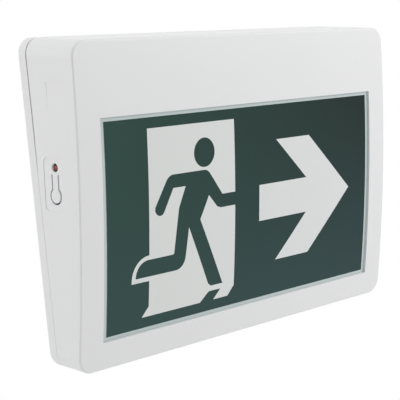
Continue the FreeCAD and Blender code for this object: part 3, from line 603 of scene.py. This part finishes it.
def legend_sheet():
    """A thin closed sheet, inked on its front and bare on its back and edge."""
    points, edges, faces = [], [], []
    for outline, ink in layers:
        first = len(points)
        points += [Vector(point) for point in anticlockwise(outline)]
        faces.append(list(range(first, len(points))))
    level_count = round(legend_height / level_pitch)
    for index in range(1, level_count):
        height = index * legend_height / level_count - legend_height / 2
        edges.append((len(points), len(points) + 1))
        points += [Vector((-legend_width / 2, height)), Vector((legend_width / 2, height))]
    flat, _, triangles, _, _, layer_numbers = delaunay_2d_cdt(points, edges, faces, 1, 1e-4)
    mesh = bmesh.new()
    front, back = [
        [mesh.verts.new(in_case(point.x, face_depth(point.y, inset), point.y)) for point in flat]
        for inset in (legend_recess, legend_recess + film_thickness)]
    for triangle, numbers in zip(triangles, layer_numbers):
        face = mesh.faces.new([front[index] for index in triangle])
        face.material_index = layers[max(numbers)][1]
        rear = mesh.faces.new([back[index] for index in reversed(triangle)])
        rear.material_index = BARE
    mesh.verts.index_update()
    for edge in [edge for edge in mesh.edges if edge.is_boundary]:
        if all(vertex.index < len(flat) for vertex in edge.verts):
            loop = edge.link_loops[0]
            start, end = loop.vert.index, loop.link_loop_next.vert.index
            side = mesh.faces.new([front[end], front[start], back[start], back[end]])
            side.material_index = BARE
    return mesh


legend = new_object(
    "legend_sheet", legend_sheet(), finishes["legend_green"], finishes["legend_bare"])
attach(legend, "case")
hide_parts("legend_film")
print("legend faces:", len(legend.data.polygons))

# %% [markdown]
# ## Where the small pieces are
# A node can hold several solids, such as the two screws of the light box. What replaces them
# could be placed by copied numbers, which go stale. So this sorts a node's mesh into its solids
# and gives each one's box in any set of axes.

# %% Boxes of a node's solids
def solid_boxes(name, axes):
    """The lowest and highest corner of every solid of a node, in the given axes, left to right."""
    inside = axes.inverted()
    mesh = bmesh.new()
    mesh.from_mesh(nodes[name].data)
    bmesh.ops.remove_doubles(mesh, verts=mesh.verts, dist=1e-6)
    left = set(mesh.verts)
    boxes = []
    while left:
        waiting, solid = [left.pop()], []
        while waiting:
            vertex = waiting.pop()
            solid.append(inside @ vertex.co)
            for edge in vertex.link_edges:
                other = edge.other_vert(vertex)
                if other in left:
                    left.discard(other)
                    waiting.append(other)
        boxes.append(tuple(
            Vector(pick(place[axis] for place in solid) for axis in range(3))
            for pick in (min, max)))
    mesh.free()
    return sorted(boxes, key=lambda box: box[0].x)


wall_axes = Matrix.Scale(MM, 4)
print("light box screws at x, mm:", [round((low.x + high.x) / 2, 1)
                                     for low, high in solid_boxes("light_box_screws", to_wall)])

# %% [markdown]
# ## Patterns
# What repeats is made once and put in place by Geometry Nodes. A loop could copy objects instead,
# but a tree keeps the rule of the pattern in one place, with its inputs named. The first tree
# copies a piece to every point of a mesh, turned as that point's own attribute says. The second
# sets out a row between two places. Both end in real geometry with a material, and the result is
# taken as a plain mesh, so no modifier is left on the object.

# %% Two node trees
def new_tree(name, sockets):
    """A geometry tree with the named inputs, the output node and the inputs as signals."""
    tree = bpy.data.node_groups.new(name, "GeometryNodeTree")
    for label, kind in sockets:
        tree.interface.new_socket(label, in_out="INPUT", socket_type="NodeSocket" + kind)
    tree.interface.new_socket("Result", in_out="OUTPUT", socket_type="NodeSocketGeometry")
    entry = tree.nodes.new("NodeGroupInput")
    signals = {label: Signal(tree, entry.outputs[label]) for label, kind in sockets}
    return tree, tree.nodes.new("NodeGroupOutput"), signals


def copies(tree, end, points, inputs, turn):
    """The common end of both trees: copies on points, made real and given their finish."""
    piece = add_node(tree, "GeometryNodeObjectInfo", {}, {"Object": inputs["Piece"]}, "Geometry")
    placed = add_node(tree, "GeometryNodeInstanceOnPoints", {},
                      {"Points": points, "Instance": piece, "Rotation": turn})
    real = add_node(tree, "GeometryNodeRealizeInstances", {}, {"Geometry": placed})
    result = add_node(tree, "GeometryNodeSetMaterial", {},
                      {"Geometry": real, "Material": inputs["Finish"]})
    tree.links.new(result.socket, end.inputs[0])


def scatter_tree():
    tree, end, inputs = new_tree("scatter", [
        ("Points", "Geometry"), ("Piece", "Object"), ("Finish", "Material")])
    turn = add_node(tree, "GeometryNodeInputNamedAttribute", {"data_type": "FLOAT_VECTOR"},
                    {"Name": "turn"})
    turn = add_node(tree, "FunctionNodeEulerToRotation", {}, {"Euler": turn})
    points = add_node(tree, "GeometryNodeMeshToPoints", {}, {"Mesh": inputs["Points"]})
    copies(tree, end, points, inputs, turn)
    return tree


def row_tree():
    tree, end, inputs = new_tree("row", [
        ("Points", "Geometry"), ("Piece", "Object"), ("Finish", "Material"), ("Count", "Int"),
        ("Start", "Vector"), ("End", "Vector"), ("Turn", "Rotation")])
    line = add_node(tree, "GeometryNodeMeshLine", {"mode": "END_POINTS"}, {
        "Count": inputs["Count"], "Start Location": inputs["Start"], "Offset": inputs["End"]})
    copies(tree, end, line, inputs, inputs["Turn"])
    return tree


def pattern(name, tree, piece, finish, places=(), **inputs):
    """The object that a tree makes of a piece, on points given as (place, turn)."""
    base = bpy.data.meshes.new(name + "_points")
    base.from_pydata([place for place, turn in places], [], [])
    turns = base.attributes.new("turn", "FLOAT_VECTOR", "POINT")
    for index, (place, turn) in enumerate(places):
        turns.data[index].vector = turn
    carrier = bpy.data.objects.new(name + "_carrier", base)
    bpy.context.scene.collection.objects.link(carrier)
    modifier = carrier.modifiers.new("pattern", "NODES")
    modifier.node_group = tree
    inputs.update(Piece=piece, Finish=finish)
    for socket in tree.interface.items_tree:
        if socket.name in inputs:
            modifier[socket.identifier] = inputs[socket.name]
    return new_object(name, result_of(carrier, piece), finish)


scatter, row = scatter_tree(), row_tree()
print("trees:", scatter.name, "and", row.name)

# %% [markdown]
# ## The head of a screw
# Each screw is a pan head with a cross recess over a threaded shank. The recess could be bump,
# but its walls catch the light. A cross of two tapered blades is cut out of the head with a
# Boolean modifier, so the mouth is a little wider than the bottom.

# %% Blades for the cross recess
head_radius, head_height = 2.7, 1.9
recess_reach, recess_width, recess_depth = 1.45, 0.62, 1.3
recess_taper = 0.6
blade_rise = 0.5


def cross_blades():
    mesh = bmesh.new()
    for turn in (0, 90):
        blade = bmesh.ops.create_cube(mesh, size=1.0)["verts"]
        for vertex in blade:
            upper = vertex.co.z > 0
            share = 1.0 if upper else recess_taper
            level = head_height + blade_rise if upper else head_height - recess_depth
            vertex.co = Vector((math.copysign(recess_reach * share, vertex.co.x),
                                math.copysign(recess_width / 2 * share, vertex.co.y), level)) * MM
        bmesh.ops.rotate(mesh, verts=blade, matrix=Matrix.Rotation(math.radians(turn), 3, "Z"))
    return mesh


def cut(body, cutter):
    """What is left when the cutter is taken away from the body, as a new object."""
    modifier = body.modifiers.new("cut", "BOOLEAN")
    modifier.object, modifier.solver, modifier.use_self = cutter, "EXACT", True
    return new_object(body.name, result_of(body, cutter))


print("recess:", recess_depth, "of", head_height, "mm deep")

# %% [markdown]
# ## Screws in their places
# The head's crown is a quarter of a circle between brim and top. The screws replace the plain
# ones of the model, each in the box of the one that it replaces.

# %% Screws
shank_radius, thread_pitch, thread_depth = 1.25, 0.9, 0.22
brim_height, brim_bevel, crown_round, crown_steps = 0.8, 0.15, 1.1, 8


def pan_head_screw(length):
    """A screw whose head stands on Z 0 and whose shank points down."""
    outline = [(0, 0), (head_radius - brim_bevel, 0), (head_radius, brim_bevel),
               (head_radius, brim_height)]
    for step in range(1, crown_steps):
        turn = math.radians(90 * step / crown_steps)
        outline.append((head_radius - crown_round * (1 - math.cos(turn)),
                        brim_height + crown_round * math.sin(turn)))
    head = bmesh.new()
    lathe(head, outline + [(head_radius - crown_round, head_height), (0, head_height)])
    made = cut(new_object("screw_head", head), new_object("blades", cross_blades()))
    mesh = result_of(made)
    threaded_rod(mesh, shank_radius, length, thread_pitch, thread_depth)
    return new_object("screw", mesh)


def replace_screws(node, axes, forward):
    """Screws in the boxes of a node's solids; forward is 1 where the heads are at low Y."""
    head_turn = axes.to_quaternion() @ Vector((0, -forward, 0)).to_track_quat("Z", "Y")
    boxes = solid_boxes(node, axes)
    places = []
    for low, high in boxes:
        seat = low.y + head_height if forward > 0 else high.y - head_height
        middle = Vector(((low.x + high.x) / 2, seat, (low.z + high.z) / 2))
        places.append((axes @ middle, head_turn.to_euler()))
    low, high = boxes[-1]
    piece = pan_head_screw(high.y - low.y - head_height)
    screws = pattern(node + "_cut", scatter, piece, finishes["zinc_steel"], places)
    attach(screws, "case")
    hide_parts(node)
    return len(places)


screw_count = (replace_screws("light_box_screws", to_wall, -1)
               + replace_screws("main_board_screw", wall_axes, 1)
               + replace_screws("battery_strap_screw", wall_axes, 1))
print("screws:", screw_count)

# %% [markdown]
# ## Capacitors
# A capacitor is a can with a rolled groove near its foot, in a plain sleeve that folds over its
# rim and leaves the top bare. Two bands of colour on one body could stand for that. Two turned
# pieces, sleeve and top, give the fold its real step.

# %% Capacitors
groove_low, groove_high, groove_slope, groove_depth = 1.9, 3.0, 0.4, 0.35
foot_bevel = 0.5
rim_fold = [(0, 0.6), (0.2, 0.15), (0.6, 0), (1.2, 0), (1.3, 0.15)]
bare_rim = [(1.25, 0.2), (1.25, 0.05), (1.6, 0.12), (1.9, 0.08)]

can_boxes = solid_boxes("capacitors", wall_axes)
can_low, can_high = can_boxes[-1]
can_radius, can_height = (can_high.x - can_low.x) / 2, can_high.y - can_low.y
can_places = [
    (wall_axes @ Vector(((low.x + high.x) / 2, high.y, (low.z + high.z) / 2)),
     (math.radians(90), 0, 0)) for low, high in can_boxes]


def lathed(name, outline, steps=32):
    mesh = bmesh.new()
    lathe(mesh, outline, steps)
    return new_object(name, mesh)


def from_rim(points):
    """Outline points that are given as millimetres inwards and down from the can's rim."""
    return [(can_radius - inwards, can_height - down) for inwards, down in points]


groove_radius = can_radius - groove_depth
sleeve_outline = [
    (0, 0), (can_radius - foot_bevel, 0), (can_radius, foot_bevel), (can_radius, groove_low),
    (groove_radius, groove_low + groove_slope), (groove_radius, groove_high - groove_slope),
    (can_radius, groove_high), *from_rim(rim_fold), (0, can_height - rim_fold[-1][1])]
top_outline = [
    (0, can_height - bare_rim[0][1]), *from_rim(bare_rim), (0, can_height - bare_rim[-1][1])]
sleeves = pattern("capacitor_sleeves", scatter, lathed("sleeve", sleeve_outline),
                  finishes["can_sleeve"], can_places)
tops = pattern("capacitor_tops", scatter, lathed("top", top_outline),
               finishes["zinc_steel"], can_places)
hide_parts("capacitors")
for piece in (sleeves, tops):
    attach(piece, "case")
print("capacitors:", len(can_places))

# %% [markdown]
# ## Strip lamps
# A strip lamp is a square housing with a dished mouth and a drop of yellow phosphor in it, and
# fourteen of them stand in a row along the light box. They could be placed one by one, but a row
# needs only its two ends and its count, which the model gives.

# %% Strip lamps
mouth_rim, mouth_slope, mouth_depth = 0.35, 0.3, 0.5
drop_radius, drop_height, drop_sunk = 1.1, 0.35, 0.1

lamp_boxes = solid_boxes("leds", to_wall)
lamp_low, lamp_high = lamp_boxes[0]
lamp_side, lamp_rise = lamp_high.x - lamp_low.x, lamp_high.z - lamp_low.z
lamp_ends = [in_case((low.x + high.x) / 2, (low.y + high.y) / 2, high.z)
             for low, high in (lamp_boxes[0], lamp_boxes[-1])]
upside_down = Matrix.Rotation(math.pi, 4, "X").to_quaternion()
lamp_turn = (to_wall.to_quaternion() @ upside_down).to_euler()


def lamp_housing():
    """A square housing that stands on Z 0 with a dished mouth at its top."""
    mesh = bmesh.new()
    bmesh.ops.create_cube(mesh, size=1.0)
    bmesh.ops.translate(mesh, verts=mesh.verts, vec=(0, 0, 0.5))
    bmesh.ops.scale(mesh, verts=mesh.verts, vec=(lamp_side * MM, lamp_side * MM, lamp_rise * MM))
    mouth = [face for face in mesh.faces if face.normal.z > 0.9]
    bmesh.ops.inset_region(mesh, faces=mouth, thickness=mouth_rim * MM)
    bmesh.ops.inset_region(
        mesh, faces=mouth, thickness=mouth_slope * MM, depth=-mouth_depth * MM)
    return new_object("housing", mesh)


mouth_floor = lamp_rise - mouth_depth
drop_outline = [(0, mouth_floor - drop_sunk), (drop_radius, mouth_floor - drop_sunk)]
drop_outline += [(drop_radius * math.cos(turn), mouth_floor + drop_height * math.sin(turn))
                 for turn in (math.radians(18 * step) for step in range(5))]
drop_outline.append((0, mouth_floor + drop_height))
lamp_row = {"Count": len(lamp_boxes), "Start": lamp_ends[0], "End": lamp_ends[1],
            "Turn": lamp_turn}
housings = pattern("led_housings", row, lamp_housing(), finishes["nylon"], **lamp_row)
drops = pattern(
    "led_drops", row, lathed("drop", drop_outline, 20), finishes["lamp_yellow"], **lamp_row)
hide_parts("leds")
for piece in (housings, drops):
    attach(piece, "case")
print("strip lamps:", len(lamp_boxes))

# %% [markdown]
# ## Status lamp
# The red lamp behind the side wall is a cast lens: a dome on a cylinder on a flange, with two
# square legs. A plain ball would do for its front, but the whole lamp can be seen once the case
# is open. The dome stands back in its hole with a gap round it, which stays dark.

# %% Domed lamp
lens_radius, flange_radius, flange_height, leg_side, leg_pitch = 2.4, 2.9, 1.0, 0.5, 2.54
dome_length = 3 * lens_radius
side_lean = math.radians(4.2)
lens_low, lens_high = solid_boxes("status_lamp", to_wall)[0]
lens_middle = (lens_low + lens_high) / 2
status_lamp_length = lens_high.x - lens_low.x
lens_outline = [(lens_radius * math.sin(turn), lens_radius * (1 - math.cos(turn)))
                for turn in (math.radians(9 * step) for step in range(11))]
lens_outline += [(lens_radius, dome_length - flange_height),
                 (flange_radius, dome_length - flange_height), (flange_radius, dome_length),
                 (0, dome_length)]
lens_mesh = bmesh.new()
lathe(lens_mesh, lens_outline)
leg_run = status_lamp_length - dome_length + flange_height / 2
for side in (-1, 1):
    leg = bmesh.ops.create_cube(lens_mesh, size=MM)["verts"]
    bmesh.ops.scale(lens_mesh, verts=leg, vec=(leg_side, leg_side, leg_run))
    leg_middle = Vector((0, side * leg_pitch / 2, status_lamp_length - leg_run / 2))
    bmesh.ops.translate(lens_mesh, verts=leg, vec=leg_middle * MM)
bmesh.ops.transform(lens_mesh, verts=lens_mesh.verts, matrix=(
    Matrix.Translation(in_case(lens_low.x, lens_middle.y, lens_middle.z))
    @ Matrix.Rotation(side_lean, 4, "X") @ Matrix.Rotation(math.pi / 2, 4, "Y")))
lens = new_object("status_lens", lens_mesh, finishes["lamp_red"])
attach(lens, "case")
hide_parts("status_lamp")
print("status lamp:", round(status_lamp_length, 1), "mm long with its legs")

# %% [markdown]
# ## Floor and room
# A pale floor lies well below the sign, in a white room. A bright room alone would give a white
# background and wash the sign out. So what the camera sees of both is plain white, by the Light
# Path node, and the room lights the sign at a level of its own.

# %% Floor and room
floor_drop = 0.25
floor_size = 8.0


def white_to_camera(tree, lit):
    """Mixes a shader with plain white for the camera and for what mirrors or glass show."""
    path = tree.nodes.new("ShaderNodeLightPath")
    seen = Signal(tree, path.outputs["Is Camera Ray"])
    for ray in ("Is Glossy Ray", "Is Transmission Ray"):
        seen = seen.sum_of("MAXIMUM", seen, Signal(tree, path.outputs[ray]))
    white = tree.nodes.new("ShaderNodeEmission")
    white.inputs["Color"].default_value = (1, 1, 1, 1)
    white.inputs["Strength"].default_value = 1.0
    mix = tree.nodes.new("ShaderNodeMixShader")
    plug(tree, mix.inputs["Fac"], seen)
    tree.links.new(lit, mix.inputs[1])
    tree.links.new(white.outputs[0], mix.inputs[2])
    return mix.outputs[0]


floor_mesh = bmesh.new()
bmesh.ops.create_grid(floor_mesh, x_segments=1, y_segments=1, size=floor_size / 2)
bmesh.ops.translate(floor_mesh, verts=floor_mesh.verts, vec=(0, 0, cad_low.z - floor_drop))
floor_finish = Finish("floor_white", (0.9, 0.9, 0.9), 0.8)
floor_output = floor_finish.tree.nodes["Material Output"]
floor_lit = floor_finish.shader.outputs[0]
floor_finish.tree.links.new(white_to_camera(floor_finish.tree, floor_lit), floor_output.inputs[0])
floor = new_object("floor", floor_mesh, floor_finish.material)

room_level = 0.44
world = bpy.data.worlds.new("room")
world.use_nodes = True
bpy.context.scene.world = world
room = world.node_tree.nodes["Background"]
room.inputs["Color"].default_value = (1.0, 1.0, 1.0, 1.0)
room.inputs["Strength"].default_value = room_level
world.node_tree.links.new(
    white_to_camera(world.node_tree, room.outputs[0]),
    world.node_tree.nodes["World Output"].inputs[0])


print("room level:", room_level)

# %% [markdown]
# ## Lamps
# Three soft square lamps stand in front at the right, behind at the left, and above. They give
# the face, the side and the top edge their tones. One sun could light all three, but not each at
# its own level.

# %% Lamps
lamp_aim = Vector((0.0, -0.03, 0.0))


def soft_lamp(name, place, size, power):
    """A square lamp at a place in metres that faces the sign."""
    lamp = bpy.data.objects.new(name, bpy.data.lights.new(name, "AREA"))
    lamp.data.energy = power
    lamp.data.size = size
    bpy.context.scene.collection.objects.link(lamp)
    turn = (lamp_aim - Vector(place)).to_track_quat("-Z", "Y").to_matrix().to_4x4()
    lamp.matrix_world = Matrix.Translation(place) @ turn


soft_lamp("right_lamp", (1.0, -1.15, 0.65), 0.8, 13.0)
soft_lamp("left_lamp", (-1.6, 0.4, 0.45), 0.9, 7.4)
soft_lamp("top_lamp", (-0.4, 0.35, 1.5), 0.7, 6.5)
bpy.context.scene.view_settings.view_transform = "Standard"
print("lamps:", len(bpy.data.lights))
